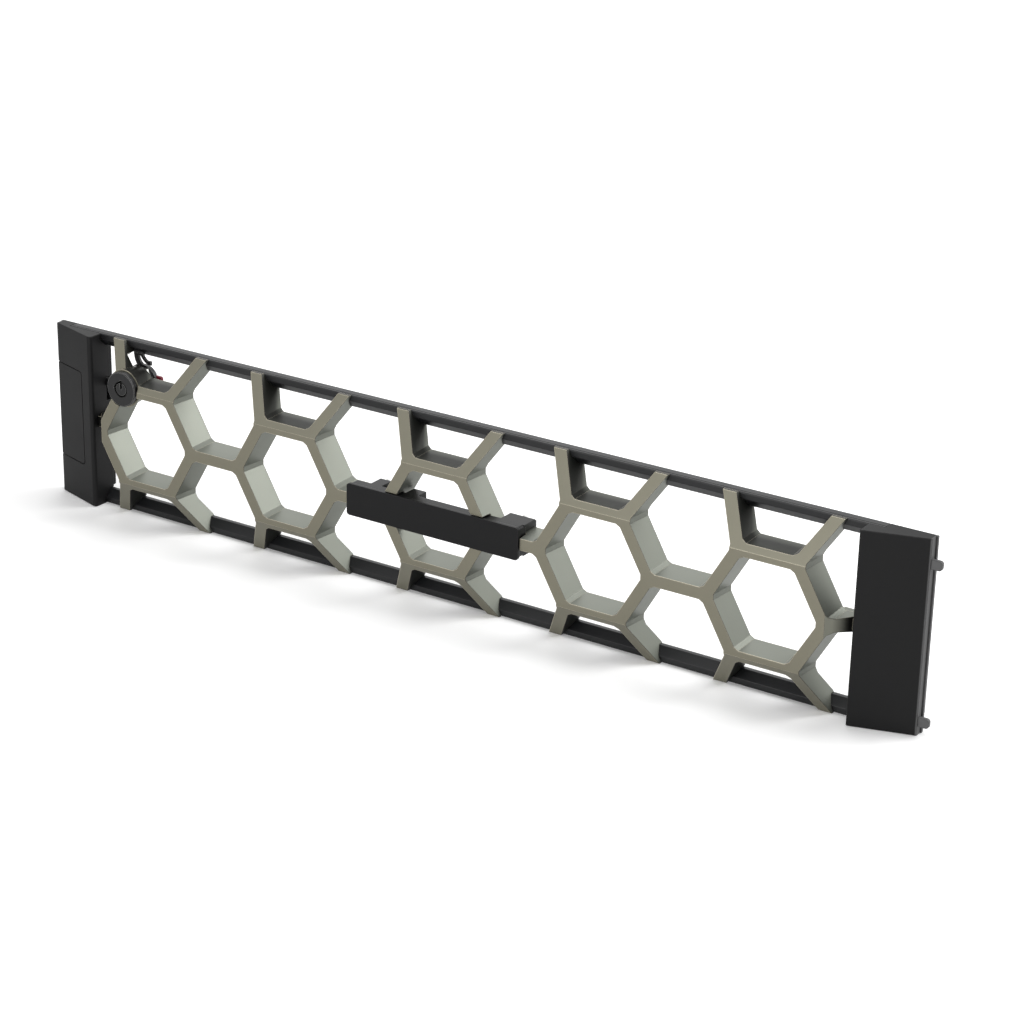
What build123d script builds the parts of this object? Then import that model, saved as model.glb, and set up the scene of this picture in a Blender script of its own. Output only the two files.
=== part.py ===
"""Server front bezel, two rack units high, with an open honeycomb grille.

Frame: +X along the bezel to the right, +Y to the back, +Z up.  The origin lies on the
underside of the bottom rail, midway along it and midway through its depth, so the bezel
stands on z = 0.  All lengths are in millimetres and all angles in degrees.
"""
from build123d import *
import math
import os

os.makedirs("parts", exist_ok=True)

# ---- overall ---------------------------------------------------------------------------
bezel_length = 462.8          # outer side of one end cap to the other
bezel_height = 86.8           # two rack units, less the usual gap

# ---- honeycomb grille ------------------------------------------------------------------
cell_count = 5                # whole hexagons along the middle
wall_front = 5.5              # wall thickness at the front face
wall_draft = 3.8              # mould draft on each face of a wall
grille_depth = 13.4
strut_set_back = 11.8         # how far the struts lean back at the top and the bottom
end_lean_angle = 48.8         # slope of the two end arms, from the front face
end_arm_run = 10.2            # last hexagon corner to the inner side of the cap
corner_cut = 1.4              # flat that breaks each inner corner of a cell
arm_height = 5.2              # lug that carries each end of the grille
arm_lug_reach = 6.0           # how far the lug runs into the end cap
arm_lug_gap_at_back = 0.3     # lug end to the back of the rails
arm_start = 0.2               # lug starts this far outside the last hexagon corner
arm_cam_gap = 0.8             # left lug stays this clear of the turning lock cam

# ---- rails -----------------------------------------------------------------------------
rail_depth = 5.2
rail_front_height = 2.9
rail_back_height = 6.5
rail_ledge = 2.0              # flat along the back of the sloping face
rail_into_left_cap = 19.2
rail_into_right_cap = 7.1
rail_edge = 0.4               # small chamfer along the outer front edge
rail_groove_set_back = 1.1
rail_groove_width = 0.5
rail_groove_depth = 0.3

# ---- end caps --------------------------------------------------------------------------
cap_width = 28.0
cap_front_inner = 4.9         # cap face behind the grille face, at the cap's inner side
cap_front_outer = 13.4        # the same at its outer side
cap_wall = 1.8
cap_end_wall = 8.5            # solid top and bottom of a cap, which hold the rail ends
left_corner_radius = 1.7
right_corner_radius = 0.6
cap_edge = 0.25
cover_thick = 1.8
cover_corner = 1.0
cover_margin = 0.1            # cover edge inside the cap's sides
cover_rail_gap = 0.5          # cover edge to the rails
side_groove_width = 0.5
side_groove_depth = 0.4
side_groove_set_back = 16.7   # behind the grille face
side_lip = 0.6                # the cap is this much wider behind the groove
tab_length = 4.8              # locating tabs on the right side
tab_height = 4.1
tab_thick = 1.8
tab_corner = 1.3
tab_heights = (6.1, 75.7)     # centres of the two tabs
tab_set_back = 13.9           # front of the tabs behind the grille face

# ---- release lever ---------------------------------------------------------------------
button_from_inner = 8.15      # cap's inner side to the edge of the button
button_height = 47.2
button_thick = 2.0
button_corner = 1.7
button_gap = 0.45
button_flange_depth = 2.1     # outer edge of the button, front to back
pivot_from_inner = 9.1        # cap's inner side to the pin
pivot_set_back = 13.5         # behind the grille face
pivot_pin_radius = 1.0
pivot_running_gap = 0.05
eye_radius = 2.6
eye_height = 5.0
eye_inset = 8.6               # centre of each eye from the end of the button
ear_gap = 1.0                 # eye to pin ear
ear_height = 3.0
ear_half_depth = 2.1
hook_reach = 13.0             # hook end behind the pivot
hook_thick = 2.4
hook_barb = 1.3
hook_nose = 3.4
pin_head_radius = 1.6
pin_head_height = 0.8
pin_end = 1.1                 # pin end beyond the lower ear
clip_radius = 1.9
clip_thick = 0.6
spring_from_outer = 9.4
spring_radius = 2.0
spring_wire = 0.6
spring_turns = 3
spring_pad_radius = 2.9
spring_pad_set_back = 13.6
spring_end_gap = 0.05

# ---- lock ------------------------------------------------------------------------------
boss_front_radius = 9.2
boss_back_radius = 7.8
boss_set_back = 2.0           # rim of the boss behind the grille face
flange_radius = 8.5
flange_proud = 0.8            # lock face in front of the grille face
flange_edge = 0.4
lock_room_radius = 14.8       # cleared behind the boss for the nut and the turning cam
strut_relief_set_back = 10.0  # the strut above the boss is cut back to here, for the strap
strut_relief_rise = 4.6       # lower end of that cut, above the lock's axis
barrel_radius = 6.3
barrel_bore_gap = 0.1
plug_radius = 4.6
plug_running_gap = 0.05
keyway_outer = 3.8
keyway_post = 3.1
keyway_depth = 5.0
key_slot = 1.2
post_recess = 0.2
bracket_thick = 1.0
bracket_rail_gap = 0.1
strap_bar_height = 1.2
strap_bend = 0.72             # height of the strap's bend, as a share of its run
hook_drop = 3.4               # key hook below the bar
bracket_ring_radius = 8.5
nut_across_flats = 14.0
nut_thick = 1.5
barrel_behind_bracket = 0.1
cam_gap = 0.2
cam_thick = 1.4
cam_hub_radius = 7.9
cam_reach = 3.2               # how far the cam arm reaches into the cap
cam_arm_width = 4.0
cam_arm_drop = 5.6            # middle of the arm below the lock's axis
cam_tail_length = 10.7
cam_tail_width = 7.2
cam_tip_length = 4.1
tail_square = 4.0
cam_screw_head_radius = 2.6
cam_screw_head_height = 1.0
cam_screw_radius = 1.0
cam_screw_length = 5.0
cam_slot_gap = 0.3

# ---- badge -----------------------------------------------------------------------------
badge_left = 46.7             # from the middle of the bezel
badge_right = 45.5
badge_height = 15.2
badge_proud = 1.0
badge_plate_thick = 1.6
badge_corner = 1.5
carrier_inset = 0.4
carrier_back = 5.6            # back of the carrier behind the grille face
pocket_gap = 0.3
block_gap = 0.3               # badge blocks to the mid bar and to the hexagon walls
left_block_width = 6.0
right_block_end = 45.0
block_height = 7.2            # from mid height
retainer_thick = 1.0
retainer_height = 13.0
wall_tab_left = 18.7
wall_tab_right = 12.0
wall_tab_back = 12.0

# ---- screws ----------------------------------------------------------------------------
screw_radius = 0.7
screw_head_radius = 1.5
screw_head_height = 0.9
screw_length = 4.6
screw_sides = 8               # flats on the small shanks, and on the holes that they fill
head_sides = 6
head_bore_gap = 0.2
rail_screw_seat = 2.4         # thickness of rail under a screw head
rail_screw_drop = 2.1         # screw axis from the outer face of a rail
cover_screw_length = 4.8
cover_boss_radius = 2.3
cover_boss_offset = 31.0      # above and below mid height
cover_boss_inset = 4.8        # from the cap's inner side
cap_rail_screw_inset = 3.6    # from the cap's inner side
badge_screw_length = 6.0

fit_gap = 0.3                 # rails in their cap pockets
slot_gap = 0.3                # arm lug in its cap slot

# ---- places worked out from the sizes ----------------------------------------------------
mid_z = bezel_height / 2
outer_x = bezel_length / 2
cap_inner_x = outer_x - cap_width
rail_front_y = -rail_depth / 2
rail_back_y = rail_depth / 2
front_y = rail_front_y - grille_depth
end_corner_x = cap_inner_x - end_arm_run
cell_side = end_corner_x / (1.5 * (cell_count - 1) + 1)
cell_apothem = cell_side * math.sqrt(3) / 2
cell_pitch = 3 * cell_side
lock_x = -(end_corner_x - cell_side / 2)
lock_z = mid_z + cell_apothem
boss_front_y = front_y + boss_set_back
nut_back_y = rail_front_y + nut_thick
bracket_back_y = nut_back_y + bracket_thick
barrel_back_y = bracket_back_y + barrel_behind_bracket
cam_front_y = barrel_back_y + cam_gap
cam_back_y = cam_front_y + cam_thick
cover_back_y = rail_back_y + cover_thick
cap_slope = (cap_front_outer - cap_front_inner) / cap_width
pivot_x = -(cap_inner_x + pivot_from_inner)
button_inner_x = -(cap_inner_x + button_from_inner)
pivot_y = front_y + pivot_set_back
draft = math.tan(math.radians(wall_draft))
wall_back = wall_front + 2 * grille_depth * draft
strut_rise = mid_z - cell_apothem
strut_lean = strut_set_back / strut_rise
eye_offset = button_height / 2 - eye_inset
ear_offset = eye_offset + eye_height / 2 + ear_gap + ear_height / 2
cam_arm_length = cap_inner_x + lock_x + cam_reach
cam_corner = math.hypot(cam_arm_length, cam_arm_drop + cam_arm_width / 2)
arm_screw_x = cap_inner_x + arm_lug_reach / 2


# ---- shape helpers -----------------------------------------------------------------------
def plan_prism(points, bottom, top):
    """Outline drawn in plan (x, y), raised from z = bottom to z = top."""
    outline = make_face(Polyline(*points, close=True))
    return extrude(Pos(0, 0, bottom) * outline, amount=top - bottom, dir=(0, 0, 1))


def side_prism(points, left, right):
    """Outline drawn in side view (y, z), run from x = left to x = right."""
    corners = [(left, y, z) for y, z in points]
    return extrude(make_face(Polyline(*corners, close=True)), amount=right - left, dir=(1, 0, 0))


def front_prism(sketch, front, back):
    """Sketch drawn in front view (x, z), run from y = front to y = back."""
    return extrude(Plane.XZ.offset(-front) * sketch, amount=back - front, dir=(0, 1, 0))


def block(x_range, y_range, z_range):
    """Box between two values on each axis."""
    size = [high - low for low, high in (x_range, y_range, z_range)]
    corner = Pos(x_range[0], y_range[0], z_range[0])
    return corner * Box(*size, align=(Align.MIN, Align.MIN, Align.MIN))


def y_rod(x, z, radius, front, back, back_radius=None):
    """Round bar along Y, or a cone where back_radius is given."""
    base = Plane(origin=(x, front, z), x_dir=(1, 0, 0), z_dir=(0, 1, 0))
    low = (Align.CENTER, Align.CENTER, Align.MIN)
    if back_radius is None:
        return base * Cylinder(radius, back - front, align=low)
    return base * Cone(radius, back_radius, back - front, align=low)


def z_rod(x, y, radius, bottom, top):
    """Round bar along Z."""
    low = (Align.CENTER, Align.CENTER, Align.MIN)
    return Pos(x, y, bottom) * Cylinder(radius, top - bottom, align=low)


def screw_rod(x, z, front, back):
    """Shank of a small screw, or the hole that it fills."""
    return front_prism(Pos(x, z) * RegularPolygon(screw_radius, screw_sides), front, back)


def head_rod(x, z, front, back, gap=0.0):
    """Head of a small screw, or the recess around it."""
    outline = Pos(x, z) * RegularPolygon(screw_head_radius + gap, head_sides)
    return front_prism(outline, front, back)


def screw(x, z, seat_y, length):
    """Hexagon-head screw driven towards the front, with its head seated at seat_y."""
    shank = screw_rod(x, z, seat_y - length, seat_y)
    return shank + head_rod(x, z, seat_y, seat_y + screw_head_height)


# ---- honeycomb grille ----------------------------------------------------------------------
def broken(points, kept=()):
    """Closed outline whose corners are cut back, apart from the kept ones."""
    corners = [Vector(*point) for point in points]
    outline = []
    for index, corner in enumerate(corners):
        before = (corners[index - 1] - corner).normalized()
        after = (corners[(index + 1) % len(corners)] - corner).normalized()
        if index in kept:
            outline.append(corner)
        else:
            outline += [corner + before * corner_cut, corner + after * corner_cut]
    return outline


def half_wall(depth):
    """Half the thickness of a wall, this far behind its front face."""
    return wall_front / 2 + draft * depth


def whole_cell(depth):
    """Hexagon hole at a depth behind the front face, from the cell's centre."""
    radius = (cell_apothem - half_wall(depth)) * 2 / math.sqrt(3)
    return broken([Vector(radius, 0).rotate(Axis.Z, 60 * step) for step in range(6)])


def cell_between(depth):
    """Hole between two whole hexagons: its outer half follows the leaning struts."""
    apothem = cell_apothem - half_wall(depth)
    low, wide = apothem / math.sqrt(3), apothem * 2 / math.sqrt(3)
    rise = strut_rise + 1
    narrow = wide - rise * (1 - 2 * draft * strut_lean) / math.sqrt(3)
    return broken([(-low, -apothem), (low, -apothem), (wide, 0), (narrow, rise),
                   (-narrow, rise), (-wide, 0)], kept=(3, 4))


def cell_at_rail(depth):
    """Hole between a hexagon's outer bar, its two struts and the rail."""
    wall = half_wall(depth)
    rise = strut_rise + 1
    sill = wall / (1 + draft * strut_lean)
    narrow = cell_side / 2 - wall * 2 / math.sqrt(3)
    spread = (1 + 2 * draft * strut_lean) / math.sqrt(3)
    left_low, left_high = narrow + sill * spread, narrow + rise * spread
    return broken([(-left_low, sill), (left_low, sill), (left_high, rise), (-left_high, rise)],
                  kept=(2, 3))


def drafted_hole(outline, x, z, side=1):
    """Solid that cuts one cell through the grille; side -1 turns it upside down."""
    ends = []
    for depth in (-1.0, grille_depth + rail_depth + 1.0):
        ends.append([Vector(x + point.X, front_y + depth, z + side * point.Y)
                     for point in outline(depth)])
    front, back = ends
    faces = [Face(Wire.make_polygon(end)) for end in ends]
    for index in range(len(front)):
        ring = [front[index - 1], front[index], back[index], back[index - 1]]
        faces.append(Face(Wire.make_polygon(ring)))
    return Solid(Shell(faces))


def cell_holes():
    """Every cell: the whole ones, those between them, and those at the rails."""
    half_count = (cell_count - 1) // 2
    holes = []
    for step in range(-half_count, half_count + 1):
        holes.append(drafted_hole(whole_cell, step * cell_pitch, mid_z))
    for side in (-1, 1):
        z = mid_z + side * cell_apothem
        for step in range(-half_count, half_count + 1):
            holes.append(drafted_hole(cell_at_rail, step * cell_pitch, z, side))
        for step in range(-half_count - 1, half_count + 1):
            holes.append(drafted_hole(cell_between, (step + 0.5) * cell_pitch, z, side))
    return holes


def rail_screw_places():
    """Screws through each rail: into one strut of every second hexagon, and each cap."""
    rise = bezel_height / 2 - rail_screw_drop - cell_apothem
    strut_shift = cell_side / 2 + rise / math.sqrt(3)
    half_count = (cell_count - 1) // 2
    struts = [step * cell_pitch + strut_shift for step in range(-half_count, half_count + 1, 2)]
    caps = [side * (cap_inner_x + cap_rail_screw_inset) for side in (-1, 1)]
    heights = (rail_screw_drop, bezel_height - rail_screw_drop)
    return [(x, z) for x in struts for z in heights], [(x, z) for x in caps for z in heights]


def badge_pocket():
    """Space cut in the grille for the badge carrier."""
    half = badge_height / 2 + pocket_gap
    return block((-badge_left - pocket_gap, badge_right + pocket_gap),
                 (front_y - 1, front_y + carrier_back), (mid_z - half, mid_z + half))


def grille():
    """One moulding: honeycomb, leaning struts, end arms and the boss for the lock."""
    reach = cap_inner_x - slot_gap
    lean_run = (reach - end_corner_x) * math.tan(math.radians(end_lean_angle))
    strut_front = front_y + strut_set_back
    bar_top = cell_apothem + wall_back / 2
    lean_top = bar_top + rail_depth / strut_lean
    body = side_prism([(strut_front, 0), (front_y, mid_z - cell_apothem),
                       (front_y, mid_z + cell_apothem), (strut_front, bezel_height),
                       (rail_back_y, bezel_height), (rail_back_y, mid_z + lean_top),
                       (rail_front_y, mid_z + bar_top), (rail_front_y, mid_z - bar_top),
                       (rail_back_y, mid_z - lean_top), (rail_back_y, 0)], -reach, reach)
    body &= plan_prism([(-reach, rail_back_y), (-reach, front_y + lean_run),
                        (-end_corner_x, front_y), (end_corner_x, front_y),
                        (reach, front_y + lean_run), (reach, rail_back_y)], 0, bezel_height)
    body -= cell_holes()
    rail_space = side_prism(rail_profile(), -outer_x, outer_x)
    body -= [rail_space, flip(rail_space)]
    body -= y_rod(lock_x, lock_z, lock_room_radius, rail_front_y, rail_back_y + 1)
    relief = y_rod(lock_x, lock_z, lock_room_radius, front_y + strut_relief_set_back, rail_front_y)
    body -= relief & block((lock_x - lock_room_radius, lock_x + lock_room_radius),
                           (front_y, rail_front_y), (lock_z + strut_relief_rise, bezel_height))
    body += y_rod(lock_x, lock_z, boss_front_radius, boss_front_y, rail_front_y, boss_back_radius)
    body -= y_rod(lock_x, lock_z, boss_front_radius, front_y - 1, boss_front_y)
    body -= y_rod(lock_x, lock_z, barrel_radius + barrel_bore_gap, front_y, rail_front_y + 1)
    body -= badge_pocket()
    cam_drop = lock_z - mid_z - arm_height / 2
    cam_clear = math.sqrt((cam_corner + arm_cam_gap) ** 2 - cam_drop ** 2)
    for side, lug_start in ((-1, cam_clear - lock_x), (1, end_corner_x + arm_start)):
        lug_x = sorted((side * lug_start, side * (cap_inner_x + arm_lug_reach)))
        lug_back = rail_back_y - arm_lug_gap_at_back
        body += block(lug_x, (front_y + grille_depth * 0.7, lug_back),
                      (mid_z - arm_height / 2, mid_z + arm_height / 2))
        screw_x = side * arm_screw_x
        body -= screw_rod(screw_x, mid_z, cover_back_y - cover_screw_length, rail_back_y)
    for x, z in rail_screw_places()[0]:
        seat = rail_front_y + rail_screw_seat
        body -= screw_rod(x, z, seat - screw_length, seat)
    return body


# ---- rails ---------------------------------------------------------------------------------
def rail_profile(gap=0.0):
    """Bottom rail in side view: low front face, top sloping up to a ledge at the back."""
    return [(rail_front_y - gap, -gap), (rail_back_y + gap, -gap),
            (rail_back_y + gap, rail_back_height + gap),
            (rail_back_y - rail_ledge - gap / 2, rail_back_height + gap),
            (rail_front_y - gap, rail_front_height + gap)]


def flip(shape):
    """Mirror a shape about mid height."""
    return mirror(shape, about=Plane.XY.offset(mid_z))


def bottom_rail():
    ends = (-cap_inner_x - rail_into_left_cap, cap_inner_x + rail_into_right_cap)
    rail = side_prism(rail_profile(), *ends)
    front_edge = rail.edges().filter_by(Axis.X).group_by(Axis.Z)[0].sort_by(Axis.Y)[0]
    rail = chamfer(front_edge, rail_edge)
    groove_y = rail_front_y + rail_groove_set_back
    rail -= block((ends[0] - 1, ends[1] + 1), (groove_y, groove_y + rail_groove_width),
                  (-1, rail_groove_depth))
    seat = rail_front_y + rail_screw_seat
    for group in rail_screw_places():
        for x, z in group:
            if z < mid_z:
                rail -= head_rod(x, z, seat, rail_back_y + 1, head_bore_gap)
                rail -= screw_rod(x, z, rail_front_y - 1, seat)
    return rail


# ---- end caps --------------------------------------------------------------------------------
def cap_plan(side, inset=0.0):
    """Plan outline of a cap, or of its hollow where inset is the wall thickness."""
    inner = cap_inner_x + inset
    outer = outer_x - inset
    face_shift = inset * math.hypot(1, cap_slope)
    inner_front = front_y + cap_front_inner + cap_slope * inset + face_shift
    outer_front = front_y + cap_front_outer - cap_slope * inset + face_shift
    back = rail_back_y + (1 if inset else 0)
    return [(side * inner, back), (side * inner, inner_front),
            (side * outer, outer_front), (side * outer, back)]


def cap_face_y(distance, depth=0.0):
    """Y of the cap's sloping face at a distance from the middle, or of a layer below it."""
    face = front_y + cap_front_inner + cap_slope * (distance - cap_inner_x)
    return face + depth * math.hypot(1, cap_slope)


def cover_screw_places():
    """Cover screws of one cap, as (distance from the middle, height)."""
    distance = cap_inner_x + cover_boss_inset
    return [(distance, mid_z + side * cover_boss_offset) for side in (-1, 1)]


def cap_shell(side):
    """Hollow moulding, open at the back, with pockets for both rails and a slot for the arm."""
    shell = plan_prism(cap_plan(side), 0, bezel_height)
    upright = shell.edges().filter_by(Axis.Z)
    inner_front = upright.sort_by(Axis.Y)[0]
    shell = fillet(inner_front, left_corner_radius if side < 0 else right_corner_radius)
    face = shell.faces().filter_by(lambda f: abs(f.normal_at().X) > 0.1 and f.normal_at().Y < -0.9)[0]
    rims = [edge for edge in face.edges() if abs(edge.center().Z - mid_z) > mid_z - 1]
    shell = chamfer(rims, cap_edge)
    shell -= plan_prism(cap_plan(side, cap_wall), cap_end_wall, bezel_height - cap_end_wall)
    bosses = []
    for distance, z in cover_screw_places():
        bosses.append(y_rod(side * distance, z, cover_boss_radius,
                            cap_face_y(distance, cap_wall / 2), rail_back_y))
    for boss in bosses:
        shell += boss & plan_prism(cap_plan(side), 0, bezel_height)
    run = rail_into_left_cap if side < 0 else rail_into_right_cap
    ends = sorted((side * (cap_inner_x - 1), side * (cap_inner_x + run + fit_gap)))
    pocket = side_prism(rail_profile(fit_gap), *ends)
    shell -= pocket
    shell -= flip(pocket)
    slot_x = sorted((side * (cap_inner_x - 1), side * (cap_inner_x + cap_wall + 0.1)))
    shell -= block(slot_x, (front_y + grille_depth * 0.7 - slot_gap, rail_back_y + 1),
                   (mid_z - arm_height / 2 - slot_gap, mid_z + arm_height / 2 + slot_gap))
    for distance, z in cover_screw_places():
        shell -= screw_rod(side * distance, z, cover_back_y - cover_screw_length, rail_back_y + 1)
    for x, z in rail_screw_places()[1]:
        if x * side > 0:
            seat = rail_front_y + rail_screw_seat
            shell -= screw_rod(x, z, seat - screw_length, seat)
    groove_y = front_y + side_groove_set_back
    groove_x = sorted((side * (outer_x - side_groove_depth), side * (outer_x + 1)))
    lip_x = sorted((side * (outer_x - side_groove_depth), side * (outer_x + side_lip)))
    shell -= block(groove_x, (groove_y, groove_y + side_groove_width), (-1, bezel_height + 1))
    shell += block(lip_x, (groove_y + side_groove_width, rail_back_y), (0, bezel_height))
    return shell


def left_cap():
    """Left cap: opening for the release button, ears for its pin, gap for the lock cam."""
    shell = cap_shell(-1)
    half = button_height / 2 + button_gap
    inner = button_inner_x + button_gap
    opening = front_prism(Pos((inner - outer_x - 5) / 2, mid_z)
                          * Rectangle(inner + outer_x + 5, 2 * half), front_y, rail_back_y)
    corners = opening.edges().filter_by(Axis.Y).group_by(Axis.X)[-1]
    opening = fillet(corners, button_corner + button_gap)
    shell -= opening & plan_prism([(-outer_x - 1, front_y), (inner + 1, front_y),
                                   (inner + 1, cap_face_y(-inner, cap_wall) + 1.0),
                                   (-outer_x + cap_wall + 0.1, rail_back_y + 1),
                                   (-outer_x - 1, rail_back_y + 1)], 0, bezel_height)
    wall_x = -(cap_inner_x + cap_wall / 2)
    for side in (-1, 1):
        z = mid_z + side * ear_offset
        span = (z - ear_height / 2, z + ear_height / 2)
        ear = block((pivot_x, wall_x), (pivot_y - ear_half_depth, pivot_y + ear_half_depth), span)
        ear += z_rod(pivot_x, pivot_y, ear_half_depth, *span)
        shell += ear - z_rod(pivot_x, pivot_y, pivot_pin_radius, span[0] - 1, span[1] + 1)
    swing_drop = math.sqrt(cam_corner ** 2 - (cap_inner_x + lock_x) ** 2)
    cam_top = lock_z - cam_arm_drop + cam_arm_width / 2
    shell -= block((-(cap_inner_x + cap_wall + 0.1), -(cap_inner_x - 1)),
                   (cam_front_y - cam_slot_gap, rail_back_y + 1),
                   (lock_z - swing_drop - cam_slot_gap, cam_top + cam_slot_gap))
    return shell


def right_cap():
    """Right cap: plain face, with two tabs on its side that locate the bezel."""
    shell = cap_shell(1)
    for z in tab_heights:
        front = front_y + tab_set_back
        tab = block((outer_x - cap_wall, outer_x + tab_length), (front, front + tab_thick),
                    (z - tab_height / 2, z + tab_height / 2))
        tab = fillet(tab.edges().filter_by(Axis.Y).group_by(Axis.X)[-1], tab_corner)
        shell += tab
    return shell


def hook_span(side):
    """Height range of the upper or lower eye and hook."""
    z = mid_z + side * eye_offset
    return z - eye_height / 2, z + eye_height / 2


def back_cover(side):
    """Flat plate that closes the back of a cap."""
    x_range = sorted((side * (cap_inner_x + cover_margin), side * (outer_x - cover_margin)))
    low = rail_back_height + cover_rail_gap
    cover = block(x_range, (rail_back_y, cover_back_y), (low, bezel_height - low))
    cover = chamfer(cover.edges().filter_by(Axis.Y), cover_corner)
    places = [(side * distance, z) for distance, z in cover_screw_places()]
    for x, z in places + [(side * arm_screw_x, mid_z)]:
        cover -= screw_rod(x, z, rail_back_y - 1, cover_back_y + 1)
    return cover


def left_cover():
    """Left cover: two slots let the latch hooks through and swing."""
    cover = back_cover(-1)
    for side in (-1, 1):
        low, high = hook_span(side)
        cover -= block((pivot_x - hook_thick / 2 - hook_barb - 0.4, pivot_x + hook_thick / 2 + 1.4),
                       (rail_back_y - 1, cover_back_y + 1), (low - slot_gap, high + slot_gap))
    return cover


# ---- release lever -----------------------------------------------------------------------------
def release_lever():
    """Button, two eyes for the pin, and two hooks that reach out of the back."""
    inner = button_inner_x
    half = button_height / 2
    flange_back = front_y + cap_front_outer + button_flange_depth
    plan = [(inner, cap_face_y(-inner)), (-outer_x, cap_face_y(outer_x)),
            (-outer_x, flange_back), (-outer_x + cap_wall, flange_back),
            (-outer_x + cap_wall, cap_face_y(outer_x - cap_wall, button_thick)),
            (inner, cap_face_y(-inner, button_thick))]
    lever = plan_prism(plan, mid_z - half, mid_z + half)
    rounding = front_prism(Pos((inner - outer_x - 9) / 2, mid_z)
                           * Rectangle(inner + outer_x + 9, 2 * half), front_y, rail_back_y)
    lever &= fillet(rounding.edges().filter_by(Axis.Y).group_by(Axis.X)[-1], button_corner)
    panel_back = cap_face_y(-inner, button_thick / 2)
    for side in (-1, 1):
        span = hook_span(side)
        web = plan_prism([(inner - 0.6, panel_back), (inner - 6.0, panel_back + 1.6),
                          (pivot_x - eye_radius, pivot_y), (pivot_x + eye_radius, pivot_y)], *span)
        hook_left = pivot_x - hook_thick / 2
        hook_end = pivot_y + hook_reach
        hook = plan_prism([(hook_left, pivot_y), (hook_left, hook_end - hook_nose),
                           (hook_left - hook_barb, hook_end - hook_nose),
                           (hook_left + hook_thick / 3, hook_end),
                           (hook_left + hook_thick, hook_end),
                           (hook_left + hook_thick, pivot_y)], *span)
        lever += web + z_rod(pivot_x, pivot_y, eye_radius, *span) + hook
        lever -= z_rod(pivot_x, pivot_y, pivot_pin_radius + pivot_running_gap,
                       span[0] - 1, span[1] + 1)
    spring_x = -(outer_x - spring_from_outer)
    lever += y_rod(spring_x, mid_z, spring_pad_radius,
                   cap_face_y(-spring_x, button_thick / 2), front_y + spring_pad_set_back)
    return lever


def pivot_pin():
    """Steel pin with a head above the upper ear."""
    top = mid_z + ear_offset + ear_height / 2
    bottom = mid_z - ear_offset - ear_height / 2 - pin_end
    pin = z_rod(pivot_x, pivot_y, pivot_pin_radius, bottom, top)
    return pin + z_rod(pivot_x, pivot_y, pin_head_radius, top, top + pin_head_height)


def pin_clip():
    """Open ring that keeps the pin from lifting out."""
    top = mid_z - ear_offset - ear_height / 2
    ring = z_rod(pivot_x, pivot_y, clip_radius, top - clip_thick, top)
    ring -= z_rod(pivot_x, pivot_y, pivot_pin_radius, top - 1, top + 1)
    mouth = pivot_pin_radius * 1.4
    return ring - block((pivot_x - mouth / 2, pivot_x + mouth / 2),
                        (pivot_y, pivot_y + clip_radius + 1), (top - 1, top + 1))


def release_spring():
    """Compression spring between the button and the back cover."""
    start = front_y + spring_pad_set_back + spring_end_gap + spring_wire / 2
    end = rail_back_y - spring_end_gap - spring_wire / 2
    coil = Helix(pitch=(end - start) / spring_turns, height=end - start, radius=spring_radius)
    spring_x = -(outer_x - spring_from_outer)
    seat = Plane(origin=(spring_x, start, mid_z), x_dir=(1, 0, 0), z_dir=(0, 1, 0))
    wire = Plane(origin=coil @ 0, z_dir=coil % 0) * RegularPolygon(spring_wire / 2, 4)
    return seat * sweep(wire, path=coil, is_frenet=True)


# ---- lock --------------------------------------------------------------------------------------
def lock_barrel():
    """Flanged body of a round-key lock."""
    face_y = front_y - flange_proud
    flange = y_rod(lock_x, lock_z, flange_radius, face_y, boss_front_y)
    flange = chamfer(flange.edges().group_by(Axis.Y)[0], flange_edge)
    barrel = flange + y_rod(lock_x, lock_z, barrel_radius, boss_front_y, barrel_back_y)
    barrel -= y_rod(lock_x, lock_z, keyway_outer, face_y - 1, face_y + keyway_depth)
    barrel -= y_rod(lock_x, lock_z, plug_radius + plug_running_gap,
                    face_y + keyway_depth, barrel_back_y + 1)
    key_notch = block((lock_x - key_slot / 2, lock_x + key_slot / 2),
                      (face_y - 1, face_y + keyway_depth),
                      (lock_z, lock_z + keyway_outer + key_slot / 2))
    side_notch = block((lock_x - keyway_outer - key_slot / 2, lock_x),
                       (face_y - 1, face_y + keyway_depth / 2),
                       (lock_z, lock_z + key_slot))
    side_notch -= y_rod(lock_x, lock_z, keyway_post, face_y - 1, face_y + keyway_depth)
    return barrel - key_notch - side_notch


def lock_plug():
    """Turning core: slotted centre post in the keyway, and a square tail for the cam."""
    face_y = front_y - flange_proud
    core_front = face_y + keyway_depth + plug_running_gap
    plug = y_rod(lock_x, lock_z, plug_radius, core_front, barrel_back_y)
    plug += y_rod(lock_x, lock_z, keyway_post, face_y + post_recess, core_front)
    plug -= block((lock_x - key_slot / 2, lock_x + key_slot / 2),
                  (face_y - 1, face_y + keyway_depth / 2), (lock_z, lock_z + keyway_post + 1))
    half = tail_square / 2
    plug += block((lock_x - half, lock_x + half), (barrel_back_y, cam_back_y),
                  (lock_z - half, lock_z + half))
    return plug - y_rod(lock_x, lock_z, cam_screw_radius, cam_back_y - cam_screw_length,
                        cam_back_y + 1)


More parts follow.
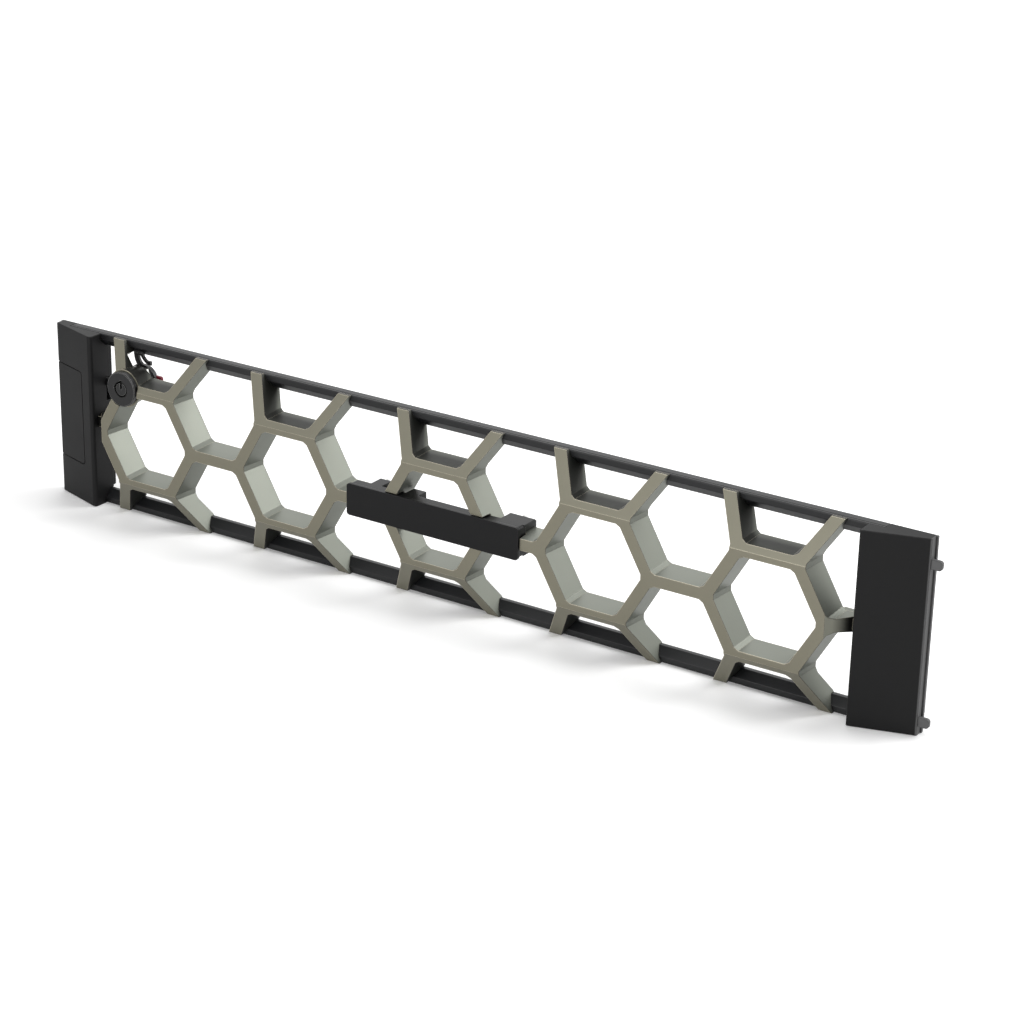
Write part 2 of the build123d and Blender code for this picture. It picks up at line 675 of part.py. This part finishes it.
def lock_bracket():
    """Flat black clip behind the nut: ring, curved strap to the rail, and a key hook."""
    rail_slope = (rail_back_height - rail_front_height) / (rail_depth - rail_ledge)
    rail_here = rail_front_height + rail_slope * (bracket_back_y - rail_front_y)
    bar_z = bezel_height - rail_here - bracket_rail_gap - strap_bar_height / 2
    bar = Pos(lock_x - 1.9, bar_z) * Rectangle(6.0, strap_bar_height)
    bend_z = lock_z + strap_bend * (bar_z - lock_z)
    strap_path = ThreePointArc((lock_x - 3.2, bar_z), (lock_x - 2.4, bend_z),
                               (lock_x + 0.6, lock_z + bracket_ring_radius * 0.8))
    hook_z = bar_z - hook_drop
    hook_path = ThreePointArc((lock_x - 0.1, bar_z), (lock_x + 0.9, bar_z - hook_drop * 0.44),
                              (lock_x + 3.4, hook_z))
    plate = bar + trace(strap_path, line_width=3.0) + trace(hook_path, line_width=1.5)
    plate += Pos(lock_x + 4.3, hook_z) * Rectangle(2.4, 2.0)
    plate += Pos(lock_x, lock_z) * Circle(bracket_ring_radius)
    plate -= Pos(lock_x, lock_z) * Circle(barrel_radius)
    above = Pos(lock_x, bar_z + strap_bar_height / 2 + bracket_ring_radius)
    plate -= above * Rectangle(4 * bracket_ring_radius, 2 * bracket_ring_radius)
    return front_prism(plate, nut_back_y, bracket_back_y)


def lock_nut():
    """Thin hexagon nut that holds the barrel in the boss."""
    outline = Pos(lock_x, lock_z) * RegularPolygon(nut_across_flats / 2, 6, major_radius=False)
    outline -= Pos(lock_x, lock_z) * Circle(barrel_radius)
    return front_prism(outline, rail_front_y, nut_back_y)


def lock_cam():
    """Cam plate: hub, long arm into the left cap, short tail for the red tip."""
    arm = Pos(-cam_arm_length / 2, -cam_arm_drop) * Rectangle(cam_arm_length, cam_arm_width)
    tail = Pos((cam_tail_length - cam_tip_length) / 2, 0) * Rectangle(
        cam_tail_length - cam_tip_length, cam_tail_width)
    plate = Circle(cam_hub_radius) + arm + tail - Rectangle(tail_square, tail_square)
    cut = Pos(cam_tail_length - cam_tip_length / 2 + 1, 0) * Rectangle(cam_tip_length + 2, 20)
    return front_prism(Pos(lock_x, lock_z) * (plate - cut), cam_front_y, cam_back_y)


def cam_tip():
    """Red end of the cam, which shows that the bezel is unlocked."""
    low = cam_tail_length - cam_tip_length
    tip = Pos(lock_x + (low + cam_tail_length) / 2, lock_z) * Rectangle(cam_tip_length, cam_tail_width)
    tip = front_prism(tip, cam_front_y, cam_back_y)
    return fillet(tip.edges().filter_by(Axis.Y).group_by(Axis.X)[-1], 1.2)


def cam_screw():
    """Screw that holds the cam on the square tail."""
    shank = y_rod(lock_x, lock_z, cam_screw_radius, cam_back_y - cam_screw_length, cam_back_y)
    head = y_rod(lock_x, lock_z, cam_screw_head_radius, cam_back_y,
                 cam_back_y + cam_screw_head_height)
    slot = front_prism(Pos(lock_x, lock_z) * Rectangle(2 * cam_screw_head_radius, 0.6),
                       cam_back_y + cam_screw_head_height / 2, cam_back_y + 2)
    return shank + head - slot


# ---- badge -------------------------------------------------------------------------------------
def badge_sketch(inset=0.0):
    """Front view of the badge, a plain rounded bar."""
    width = badge_left + badge_right - 2 * inset
    centre = (badge_right - badge_left) / 2
    return Pos(centre, mid_z) * RectangleRounded(width, badge_height - 2 * inset, badge_corner)


def badge_plate():
    """Bare front plate of the badge."""
    front = front_y - badge_proud
    return front_prism(badge_sketch(), front, front + badge_plate_thick)


def block_ranges():
    """X ranges of the badge blocks that straddle the mid bars left and right."""
    wall_x = cell_side + wall_back / math.sqrt(3) + block_gap
    return (-wall_x - left_block_width, -wall_x), (wall_x, right_block_end)


def badge_screw_places():
    """Two screws in each pair of blocks."""
    bar_edge = wall_back / 2 + block_gap
    offset = (bar_edge + block_height) / 2
    return [((low + high) / 2, mid_z + side * offset)
            for low, high in block_ranges() for side in (-1, 1)]


def badge_carrier():
    """Moulding behind the badge: slab in the grille pocket and blocks over the mid bars."""
    slab_front = front_y - badge_proud + badge_plate_thick
    carrier = front_prism(badge_sketch(carrier_inset), slab_front, front_y + carrier_back)
    bar_edge = wall_back / 2 + block_gap
    slab_back = front_y + carrier_back
    for low, high in block_ranges():
        for z_range in ((mid_z - block_height, mid_z - bar_edge),
                        (mid_z + bar_edge, mid_z + block_height)):
            carrier += block((low, high), (slab_back - 1, rail_front_y), z_range)
    carrier += block((-wall_tab_left, -wall_tab_right), (slab_back - 1, front_y + wall_tab_back),
                     (mid_z + bar_edge, mid_z + block_height))
    for x, z in badge_screw_places():
        seat = rail_front_y + retainer_thick
        carrier -= screw_rod(x, z, seat - badge_screw_length, rail_front_y + 1)
    return carrier


def badge_retainer(x_range):
    """Small plate behind a mid bar that clamps the badge carrier to it."""
    half = retainer_height / 2
    plate = block(x_range, (rail_front_y, rail_front_y + retainer_thick),
                  (mid_z - half, mid_z + half))
    for x, z in badge_screw_places():
        if x_range[0] < x < x_range[1]:
            plate -= screw_rod(x, z, rail_front_y - 1, rail_front_y + retainer_thick + 1)
    return plate


# ---- build and write every piece -------------------------------------------------------------
def screw_set(places, seat_y, length):
    """A group of identical screws."""
    return Compound(children=[screw(x, z, seat_y, length) for x, z in places])


left_blocks, right_blocks = block_ranges()
strut_screws, cap_screws = rail_screw_places()
cover_places = [(side * distance, z) for side in (-1, 1) for distance, z in cover_screw_places()]
cover_places += [(side * arm_screw_x, mid_z) for side in (-1, 1)]
lower_rail = bottom_rail()

nodes = {
    "honeycomb_grille": grille(),
    "bottom_rail": lower_rail,
    "top_rail": flip(lower_rail),
    "left_cap": left_cap(),
    "right_cap": right_cap(),
    "left_back_cover": left_cover(),
    "right_back_cover": back_cover(1),
    "release_lever": release_lever(),
    "release_pin": pivot_pin(),
    "pin_clip": pin_clip(),
    "release_spring": release_spring(),
    "lock_barrel": lock_barrel(),
    "lock_plug": lock_plug(),
    "lock_bracket": lock_bracket(),
    "lock_nut": lock_nut(),
    "lock_cam": lock_cam(),
    "cam_tip": cam_tip(),
    "cam_screw": cam_screw(),
    "badge_plate": badge_plate(),
    "badge_carrier": badge_carrier(),
    "badge_retainer_left": badge_retainer(left_blocks),
    "badge_retainer_right": badge_retainer(right_blocks),
    "badge_screws": screw_set(badge_screw_places(), rail_front_y + retainer_thick,
                              badge_screw_length),
    "rail_screws": screw_set(strut_screws + cap_screws, rail_front_y + rail_screw_seat,
                             screw_length),
    "cover_screws": screw_set(cover_places, cover_back_y, cover_screw_length),
}

for name, shape in nodes.items():
    export_step(shape, f"parts/{name}.step")
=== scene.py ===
"""Looks, light and camera for the server front bezel."""
import math

import bpy
from mathutils import Matrix, Vector


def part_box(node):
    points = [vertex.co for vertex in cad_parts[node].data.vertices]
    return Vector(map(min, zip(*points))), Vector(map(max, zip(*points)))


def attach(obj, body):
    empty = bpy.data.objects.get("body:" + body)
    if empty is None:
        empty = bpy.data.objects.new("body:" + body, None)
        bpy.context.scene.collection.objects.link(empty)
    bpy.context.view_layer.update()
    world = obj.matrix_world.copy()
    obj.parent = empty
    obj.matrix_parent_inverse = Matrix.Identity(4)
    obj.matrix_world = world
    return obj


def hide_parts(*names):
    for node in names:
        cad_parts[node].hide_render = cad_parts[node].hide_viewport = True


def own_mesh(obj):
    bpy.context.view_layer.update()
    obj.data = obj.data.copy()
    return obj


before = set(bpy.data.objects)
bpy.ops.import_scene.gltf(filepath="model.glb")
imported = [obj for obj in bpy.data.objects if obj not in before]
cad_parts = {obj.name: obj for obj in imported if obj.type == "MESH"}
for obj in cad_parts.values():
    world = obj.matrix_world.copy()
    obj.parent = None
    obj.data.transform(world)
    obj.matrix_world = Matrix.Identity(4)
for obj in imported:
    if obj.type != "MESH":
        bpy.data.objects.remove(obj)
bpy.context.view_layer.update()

MM = 0.001

# ---- camera, in degrees and millimetres in the part's frame --------------------------------
CAMERA_AZIMUTH = 32.98
CAMERA_ELEVATION = 21.86
CAMERA_ROLL = 1.255
CAMERA_DISTANCE = 1157.0
CAMERA_TARGET = (41.5, -16.0, 57.5)
CAMERA_LENS = 94.27
CAMERA_SENSOR = 36.0
CAMERA_CLIP_START = 0.05      # metres

# ---- colours, linear red, green, blue ------------------------------------------------------
GRILLE_FRONT = (0.206, 0.195, 0.15)       # the paint's own warm colour, seen on the front faces
GRILLE_SIDE_REFLECTION = (0.19, 0.2, 0.173)          # painted reflection: neutral, silvery tint on the walls of the cells
GRILLE_PAINTED_SHADE = (0.012, 0.012, 0.011)       # painted shade, near black, in the pockets at the rails and on the end lugs
GRILLE_EDGE_HIGHLIGHT = (0.52, 0.48, 0.38)          # painted highlight along the upper edges
GRILLE_EDGE_SHADE = (0.06, 0.055, 0.045)   # painted shade along the upright edges
CAP_PLASTIC = (0.006, 0.006, 0.0063)
# painted highlight along the caps' edges
CAP_EDGE_HIGHLIGHT = (0.022, 0.022, 0.022)
CAP_SIDE_LIGHT = (0.11, 0.11, 0.111)            # painted light on the outer sides at the far left and right
BUTTON_SEAM_SHADE = (0.0008, 0.0008, 0.0008)    # painted shade of the seam round the button, along its edges
RAIL_PAINT = (0.005, 0.0053, 0.006)
# painted highlight along the rails' edges
RAIL_EDGE_HIGHLIGHT = (0.035, 0.035, 0.036)
LOCK_BLACK = (0.006, 0.006, 0.0065)
# painted highlight along the lock's edges
LOCK_EDGE_HIGHLIGHT = (0.3, 0.3, 0.29)
LOCK_METAL = (0.05, 0.05, 0.048)          # barrel behind the flange
# painted shade in the keyway recess
KEYWAY_SHADE = (0.0015, 0.0015, 0.0016)
BADGE_BLACK = (0.004, 0.004, 0.0045)
# painted highlight along the badge's edges
BADGE_EDGE_HIGHLIGHT = (0.04, 0.04, 0.042)
STEEL = (0.52, 0.52, 0.5)
# painted highlight along the steel parts' edges
STEEL_EDGE_HIGHLIGHT = (0.7, 0.7, 0.68)
RED_PLASTIC = (0.15, 0.004, 0.015)
# painted highlight along the red tip's edges
RED_EDGE_HIGHLIGHT = (0.3, 0.02, 0.045)
WHITE = (1, 1, 1)
FLOOR_WHITE = (0.86, 0.86, 0.86)

# ---- where finishes begin and end ----------------------------------------------------------
EDGE_RADIUS = 0.45 * MM       # width of the rounding that the eye sees along an edge
EDGE_ROUND = 0.94             # agreement of the rounded and the flat normal on an edge
EDGE_FLAT = 0.995             # the same where the flat face begins
POCKET_START = 25.0 * MM      # height from the middle at which the pockets at the rails begin
POCKET_FADE = 2.0 * MM
POCKET_DEPTH = 15.0 * MM      # the painted shade fades out towards the back over this depth
POCKET_SHADE_DEPTH = 0.45 * POCKET_DEPTH
POCKET_LEAN = 0.9             # how far back the struts lean for each millimetre of height
POCKET_FRONT_SHADE = 0.92            # share of painted shade in front in a pocket
POCKET_BACK_SHADE = 0.15         # the same at its back
LUG_START = 195.5 * MM        # from the middle to where the painted shade on the end lugs begins
LUG_FADE = 5.0 * MM
SIDE_START = 230.6 * MM       # from the middle to where the painted light on the caps' sides begins
SIDE_FADE = 0.5 * MM
KEYWAY_RADIUS = 4.3 * MM
KEYWAY_FADE = 0.1 * MM
FLANGE_BACK = 3.0 * MM        # from the lock's face to where its bare barrel begins
FLANGE_FADE = 0.2 * MM

# Parts of a normal between which one finish passes into the next.
FRONT_TO_SIDE = (-0.9, -0.5)      # its y, from a front face to a wall of a cell
STRUT_TO_WALL = (-0.7, -0.45)     # its y, from a strut's leaning front to a pocket's wall
INWARD_TO_OUTWARD = (0.25, 0.45)  # its z, away from the middle, on the walls of a pocket
UPRIGHT_TO_LEVEL = (0.4, 0.7)     # its z, on the lugs
UPPER_TO_SIDE_EDGE = (0.2, 0.4)   # its x, along the edges

# ---- spring behind the button --------------------------------------------------------------
SPRING_WIRE = 0.6 * MM
SPRING_TURNS = 3
SPRING_STEPS = 24             # points on each turn

# ---- light ---------------------------------------------------------------------------------
FLOOR_SIZE = 12.0             # metres
FLOOR_HEIGHT = -0.2 * MM      # just under the bezel
FLOOR_ROUGHNESS = 0.9
FLOOR_SPECULAR = 0.1
FLOOR_GLOW = 0.5              # own light that lifts the lit floor to white for the camera
CONTACT_GLOW = 0.17           # own light of the floor right beside the object, lowered there as a painted shadow
CONTACT_REACH = 90 * MM       # how far the painted contact shadow reaches
CONTACT_OPENNESS = 0.6        # share of open sky over the floor right beside the object
CONTACT_SAMPLES = 8
MIRROR_GLOW = 0.14            # what FLOOR_GLOW is for rays from a mirror
FAR_GLOW = 1.0                # own light of the floor out of the lamps' reach
LAMPS_FADE = (0.5, 1.6)       # metres from the middle over which their reach ends
WORLD_LIGHT = 0.08            # strength of the world where it lights the object
AIM = Vector((0, 0, 0.04))    # point that all the lamps face


# ---- node trees ----------------------------------------------------------------------------
class Graph:
    """Short ways to add nodes to a tree."""

    def __init__(self, tree):
        self.nodes = tree.nodes
        self.link = tree.links.new

    def span(self, value, start, end, first=0.0, last=1.0):
        """Carries start..end over to first..last, each a number or a socket, and holds the ends."""
        change = self.nodes.new("ShaderNodeMapRange")
        self.link(value, change.inputs["Value"])
        for name, number in (("From Min", start), ("From Max", end),
                             ("To Min", first), ("To Max", last)):
            self.feed(change.inputs[name], number)
        return change.outputs["Result"]

    def feed(self, socket, value):
        """Links a socket, or sets a number, on an input."""
        if isinstance(value, bpy.types.NodeSocket):
            self.link(value, socket)
        else:
            socket.default_value = value

    def compute(self, operation, first, second=0.0, third=0.0):
        """One arithmetic step on sockets or numbers."""
        step = self.nodes.new("ShaderNodeMath")
        step.operation = operation
        for socket, value in zip(step.inputs, (first, second, third)):
            self.feed(socket, value)
        return step.outputs["Value"]

    def vector(self, operation, first, second=None):
        """One step on vectors that gives a number."""
        step = self.nodes.new("ShaderNodeVectorMath")
        step.operation = operation
        self.link(first, step.inputs[0])
        if second:
            self.link(second, step.inputs[1])
        return step.outputs["Value"]

    def axes(self, vector):
        """The three parts of a vector."""
        parts = self.nodes.new("ShaderNodeSeparateXYZ")
        self.link(vector, parts.inputs["Vector"])
        return parts.outputs


# ---- materials -----------------------------------------------------------------------------
class Surface(Graph):
    """Moulded or painted surface: uneven tone and gloss, a fine grain in relief, soft edges, and a
    painted highlight along the edges (on the button, the painted shade of its seam).
    """

    mottle_scale = 35.0
    mottle_detail = 3.0
    rough_swing = 0.06        # how far the roughness strays to either side
    grain_depth = 0.02 * MM
    grain_detail = 2.0
    grain_strength = 0.5
    bevel_samples = 6

    def __init__(self, name, colour, painted_edge, roughness, metallic=0.0, specular=0.5, grain=1500.0,
                 tone=0.12, edge_share=0.5):
        self.material = bpy.data.materials.new(name)
        self.material.use_nodes = True
        super().__init__(self.material.node_tree)
        self.shader = self.nodes["Principled BSDF"]
        self.shader.inputs["Metallic"].default_value = metallic
        self.shader.inputs["Specular IOR Level"].default_value = specular
        self.place = self.nodes.new("ShaderNodeTexCoord")

        mottle = self.noise(self.mottle_scale, self.mottle_detail)
        self.tinted = self.mix(mottle, [c * (1 - tone) for c in colour],
                               [c * (1 + tone) for c in colour])
        self.link(self.span(mottle, 0, 1, roughness - self.rough_swing,
                            roughness + self.rough_swing), self.shader.inputs["Roughness"])

        self.rounded = self.nodes.new("ShaderNodeBevel")
        self.rounded.samples = self.bevel_samples
        self.rounded.inputs["Radius"].default_value = EDGE_RADIUS
        self.edges = self.edge_mask(edge_share)
        # painted edge colour: a highlight on most parts, the painted shade of the seam on the
        # button
        if painted_edge:
            self.paint(self.mix(self.edges, self.tinted, painted_edge))

        relief = self.nodes.new("ShaderNodeBump")
        relief.inputs["Strength"].default_value = self.grain_strength
        relief.inputs["Distance"].default_value = self.grain_depth
        self.link(self.noise(grain, self.grain_detail), relief.inputs["Height"])
        self.link(self.rounded.outputs["Normal"], relief.inputs["Normal"])
        self.link(relief.outputs["Normal"], self.shader.inputs["Normal"])

    def paint(self, colour):
        """Sends a colour to the shader."""
        self.link(colour, self.shader.inputs["Base Color"])

    def noise(self, scale, detail):
        """Noise in the part's own space, 0 to 1."""
        texture = self.nodes.new("ShaderNodeTexNoise")
        texture.inputs["Scale"].default_value = scale
        texture.inputs["Detail"].default_value = detail
        self.link(self.place.outputs["Object"], texture.inputs["Vector"])
        return texture.outputs["Fac"]

    def mix(self, factor, first, second):
        """Blends two colours, each given as a socket or as numbers."""
        blend = self.nodes.new("ShaderNodeMix")
        blend.data_type = "RGBA"
        self.link(factor, blend.inputs["Factor"])
        for name, colour in (("A", first), ("B", second)):
            given = isinstance(colour, bpy.types.NodeSocket)
            self.feed(blend.inputs[name], colour if given else (*colour, 1))
        return blend.outputs["Result"]

    def edge_mask(self, share):
        """Share along the edges, where the rounded normal leaves the flat one, and 0 elsewhere."""
        flat = self.nodes.new("ShaderNodeNewGeometry")
        agreement = self.vector("DOT_PRODUCT", self.rounded.outputs["Normal"],
                                flat.outputs["Normal"])
        return self.span(agreement, EDGE_ROUND, EDGE_FLAT, share, 0.0)


def dress(surface, *nodes):
    """Gives CAD nodes their material."""
    for node in nodes:
        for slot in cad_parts[node].material_slots:
            slot.material = surface.material


def grille_paint():
    """Metallic paint, warm in front, with painted reflection in the cells, painted shade in the
    pockets at the rails and at the lugs, and painted highlight and shade on the edges.
    """
    paint = Surface("warm grey metallic paint", GRILLE_FRONT, None, roughness=0.4, metallic=0.6,
                    specular=0.15, grain=2500, tone=0.05, edge_share=1.0)
    x, y, z = paint.axes(paint.place.outputs["Object"])
    facing = paint.axes(paint.place.outputs["Normal"])
    facing_y, facing_z = facing["Y"], facing["Z"]
    low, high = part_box("honeycomb_grille")
    above_middle = paint.compute("SUBTRACT", z, (low[2] + high[2]) / 2)
    height = paint.compute("ABSOLUTE", above_middle)

    # painted reflection: silvery tint on the walls of the cells
    colour_and_painted_light = paint.mix(paint.span(facing_y, *FRONT_TO_SIDE), paint.tinted, GRILLE_SIDE_REFLECTION)

    # painted shade in the pockets between the struts, darker in front and close to the rail
    away = paint.compute("MULTIPLY", facing_z, paint.compute("SIGN", above_middle))
    outward = paint.compute("MULTIPLY", paint.span(facing_y, *STRUT_TO_WALL),
                            paint.span(away, *INWARD_TO_OUTWARD))
    beyond = paint.span(height, POCKET_START, POCKET_START + POCKET_FADE)
    lean = paint.compute("MULTIPLY", paint.compute("SUBTRACT", height, POCKET_START), POCKET_LEAN)
    depth = paint.compute("SUBTRACT", paint.compute("SUBTRACT", y, low[1]), lean)
    shallow = paint.span(depth, POCKET_SHADE_DEPTH, POCKET_DEPTH, POCKET_FRONT_SHADE, POCKET_BACK_SHADE)
    pocket = paint.compute("MULTIPLY", paint.compute("MULTIPLY", outward, beyond), shallow)
    colour_and_painted_light = paint.mix(pocket, colour_and_painted_light, GRILLE_PAINTED_SHADE)

    # painted shade at the lugs that run into the caps
    upright = paint.span(facing_z, *UPRIGHT_TO_LEVEL, 1.0, 0.0)
    left_lug = paint.span(x, -LUG_START, -LUG_START - LUG_FADE)
    right_lug = paint.compute("MULTIPLY", upright,
                              paint.span(x, LUG_START, LUG_START + LUG_FADE))
    colour_and_painted_light = paint.mix(paint.compute("MAXIMUM", left_lug, right_lug), colour_and_painted_light, GRILLE_PAINTED_SHADE)

    # painted highlight along the upper edges, painted shade along the side edges
    sideways = paint.span(paint.axes(paint.rounded.outputs["Normal"])[0], *UPPER_TO_SIDE_EDGE)
    painted_edge = paint.mix(sideways, GRILLE_EDGE_HIGHLIGHT, GRILLE_EDGE_SHADE)
    paint.paint(paint.mix(paint.edges, colour_and_painted_light, painted_edge))
    return paint


def cap_plastic():
    """Grained plastic, with painted light on the outermost side faces and a painted highlight along
    the edges.
    """
    plastic = Surface("satin black plastic", CAP_PLASTIC, None, roughness=0.5, specular=0.18)
    x = plastic.axes(plastic.place.outputs["Object"])[0]
    outer = plastic.span(plastic.compute("ABSOLUTE", x), SIDE_START, SIDE_START + SIDE_FADE)
    side_lit = plastic.mix(outer, plastic.tinted, CAP_SIDE_LIGHT)
    plastic.paint(plastic.mix(plastic.edges, side_lit, CAP_EDGE_HIGHLIGHT))
    return plastic


def lock_enamel():
    """Enamel on the lock's face, with painted shade in the keyway, a painted highlight on the
    edges, and darkened metal behind the flange.
    """
    enamel = Surface("black lock enamel", LOCK_BLACK, None, roughness=0.32, specular=0.35,
                     grain=900)
    x, y, z = enamel.axes(enamel.place.outputs["Object"])
    low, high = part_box("lock_barrel")
    across = enamel.compute("SUBTRACT", x, (low[0] + high[0]) / 2)
    upward = enamel.compute("SUBTRACT", z, (low[2] + high[2]) / 2)
    squares = enamel.compute("ADD", enamel.compute("MULTIPLY", across, across),
                             enamel.compute("MULTIPLY", upward, upward))
    radius = enamel.compute("SQRT", squares)
    keyway = enamel.span(radius, KEYWAY_RADIUS, KEYWAY_RADIUS + KEYWAY_FADE, 1.0, 0.0)
    bare_start = low[1] + FLANGE_BACK
    bare = enamel.span(y, bare_start, bare_start + FLANGE_FADE)
    # painted highlight along the lock's edges
    colour_and_painted_light = enamel.mix(enamel.edges, enamel.tinted, LOCK_EDGE_HIGHLIGHT)
    # painted shade in the keyway
    colour_and_painted_light = enamel.mix(keyway, colour_and_painted_light, KEYWAY_SHADE)
    enamel.paint(enamel.mix(bare, colour_and_painted_light, LOCK_METAL))
    return enamel


rail_paint = Surface("satin black paint", RAIL_PAINT, RAIL_EDGE_HIGHLIGHT, roughness=0.42, specular=0.35,
                     grain=1200)
button_plastic = Surface("satin black button", CAP_PLASTIC, BUTTON_SEAM_SHADE, roughness=0.5,
                         specular=0.18, edge_share=1.0)
lock_black = Surface("black lock parts", LOCK_BLACK, LOCK_EDGE_HIGHLIGHT, roughness=0.32, specular=0.35,
                     grain=900)
badge_black = Surface("black badge plastic", BADGE_BLACK, BADGE_EDGE_HIGHLIGHT, roughness=0.35,
                      specular=0.18, grain=900)
steel = Surface("zinc plated steel", STEEL, STEEL_EDGE_HIGHLIGHT, roughness=0.35, metallic=1.0, grain=800)
red_plastic = Surface("red plastic", RED_PLASTIC, RED_EDGE_HIGHLIGHT, roughness=0.35, specular=0.3,
                      grain=800)

dress(grille_paint(), "honeycomb_grille")
dress(cap_plastic(), "left_cap", "right_cap", "left_back_cover", "right_back_cover")
dress(button_plastic, "release_lever")
dress(rail_paint, "bottom_rail", "top_rail")
dress(lock_enamel(), "lock_barrel")
dress(lock_black, "lock_plug", "lock_bracket", "lock_cam",
      "badge_retainer_left", "badge_retainer_right")
dress(badge_black, "badge_plate", "badge_carrier")
dress(steel, "release_pin", "pin_clip", "lock_nut", "cam_screw",
      "badge_screws", "rail_screws", "cover_screws")
dress(red_plastic, "cam_tip")


# ---- spring behind the button --------------------------------------------------------------
def spring_coil():
    """Round-wire compression spring, in the place and size of the release spring."""
    low, high = (Vector(corner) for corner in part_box("release_spring"))
    middle = (low + high) / 2
    radius = (high.x - low.x - SPRING_WIRE) / 2
    rise = high.y - low.y - SPRING_WIRE
    line = bpy.data.curves.new("spring line", "CURVE")
    line.dimensions = "3D"
    line.bevel_depth = SPRING_WIRE / 2
    line.use_fill_caps = True
    steps = SPRING_TURNS * SPRING_STEPS
    spline = line.splines.new("POLY")
    spline.points.add(steps)
    for step, point in enumerate(spline.points):
        angle = math.tau * step / SPRING_STEPS
        point.co = (middle.x + radius * math.cos(angle),
                    low.y + SPRING_WIRE / 2 + rise * step / steps,
                    middle.z + radius * math.sin(angle), 1)
    drawn = bpy.data.objects.new("spring line", line)
    coil = bpy.data.objects.new("spring_coil", bpy.data.meshes.new_from_object(drawn))
    bpy.data.objects.remove(drawn)
    bpy.context.collection.objects.link(coil)
    coil.data.materials.append(steel.material)

    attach(coil, "frame")
    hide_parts("release_spring")
    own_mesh(coil)


spring_coil()


# ---- background ----------------------------------------------------------------------------
world = bpy.data.worlds.new("studio")
bpy.context.scene.world = world
world.use_nodes = True
sky = Graph(world.node_tree)
background = sky.nodes["Background"]
background.inputs["Color"].default_value = (*WHITE, 1)
seen = sky.nodes.new("ShaderNodeLightPath")
straight = sky.compute("MAXIMUM", seen.outputs["Is Camera Ray"], seen.outputs["Is Glossy Ray"])
visible = sky.compute("MAXIMUM", straight, seen.outputs["Is Transmission Ray"])
sky.link(sky.span(visible, 0, 1, WORLD_LIGHT, 1.0), background.inputs["Strength"])

# ---- floor ---------------------------------------------------------------------------------
bpy.ops.mesh.primitive_plane_add(size=FLOOR_SIZE, location=(0, 0, FLOOR_HEIGHT))
floor = bpy.context.object
floor.name = "floor"
floor_paint = bpy.data.materials.new("white paper")
floor_paint.use_nodes = True
paper = Graph(floor_paint.node_tree)
shader = paper.nodes["Principled BSDF"]
shader.inputs["Base Color"].default_value = (*FLOOR_WHITE, 1)
shader.inputs["Roughness"].default_value = FLOOR_ROUGHNESS
shader.inputs["Specular IOR Level"].default_value = FLOOR_SPECULAR
shader.inputs["Emission Color"].default_value = (*WHITE, 1)

spot = paper.nodes.new("ShaderNodeTexCoord")
reach = paper.vector("LENGTH", spot.outputs["Object"])
glow = paper.span(reach, *LAMPS_FADE, FLOOR_GLOW, FAR_GLOW)
# painted shadow: the floor's own light drops close to the object, by ambient occlusion
openness = paper.nodes.new("ShaderNodeAmbientOcclusion")
openness.samples = CONTACT_SAMPLES
openness.inputs["Distance"].default_value = CONTACT_REACH
shaded = paper.span(openness.outputs["AO"], CONTACT_OPENNESS, 1.0, CONTACT_GLOW, glow)
seen = paper.nodes.new("ShaderNodeLightPath")
direct = paper.compute("MULTIPLY", seen.outputs["Is Camera Ray"], shaded)
mirrored = paper.compute("MAXIMUM", seen.outputs["Is Glossy Ray"],
                         seen.outputs["Is Transmission Ray"])
paper.link(paper.compute("MULTIPLY_ADD", mirrored, MIRROR_GLOW, direct),
           shader.inputs["Emission Strength"])
floor.data.materials.append(floor_paint)


# ---- lamps ---------------------------------------------------------------------------------
def direction(azimuth, elevation):
    """Unit vector towards a place around the bezel, in degrees, azimuth 0 in front of it."""
    a, e = math.radians(azimuth), math.radians(elevation)
    return Vector((math.sin(a) * math.cos(e), -math.cos(a) * math.cos(e), math.sin(e)))


def softbox(name, azimuth, elevation, distance, size, watts):
    """Square soft light aimed at the middle of the bezel."""
    light = bpy.data.lights.new(name, "AREA")
    light.size = size
    light.energy = watts
    lamp = bpy.data.objects.new(name, light)
    bpy.context.collection.objects.link(lamp)
    away = direction(azimuth, elevation)
    lamp.location = AIM + away * distance
    lamp.rotation_euler = away.to_track_quat("Z", "Y").to_euler()
    lamp.visible_camera = False


softbox("key from behind", azimuth=130, elevation=38, distance=1.7, size=1.0, watts=20)
softbox("rim from behind", azimuth=220, elevation=40, distance=1.7, size=1.1, watts=4)
softbox("front", azimuth=0, elevation=15, distance=0.9, size=0.5, watts=3.8)
softbox("top", azimuth=0, elevation=88, distance=1.3, size=1.6, watts=12.6)

# ---- camera --------------------------------------------------------------------------------
back = direction(CAMERA_AZIMUTH, CAMERA_ELEVATION)
azimuth = math.radians(CAMERA_AZIMUTH)
right = Vector((math.cos(azimuth), math.sin(azimuth), 0))
up = back.cross(right)
turn = math.radians(CAMERA_ROLL)
right, up = (right * math.cos(turn) + up * math.sin(turn),
             up * math.cos(turn) - right * math.sin(turn))
camera = bpy.data.objects.new("camera", bpy.data.cameras.new("camera"))
bpy.context.collection.objects.link(camera)
place = (Vector(CAMERA_TARGET) + back * CAMERA_DISTANCE) * MM
camera.matrix_world = Matrix.Translation(place) @ Matrix((right, up, back)).transposed().to_4x4()
camera.data.lens = CAMERA_LENS
camera.data.sensor_width = CAMERA_SENSOR
camera.data.clip_start = CAMERA_CLIP_START
bpy.context.scene.camera = camera
bpy.context.scene.view_settings.view_transform = "Standard"
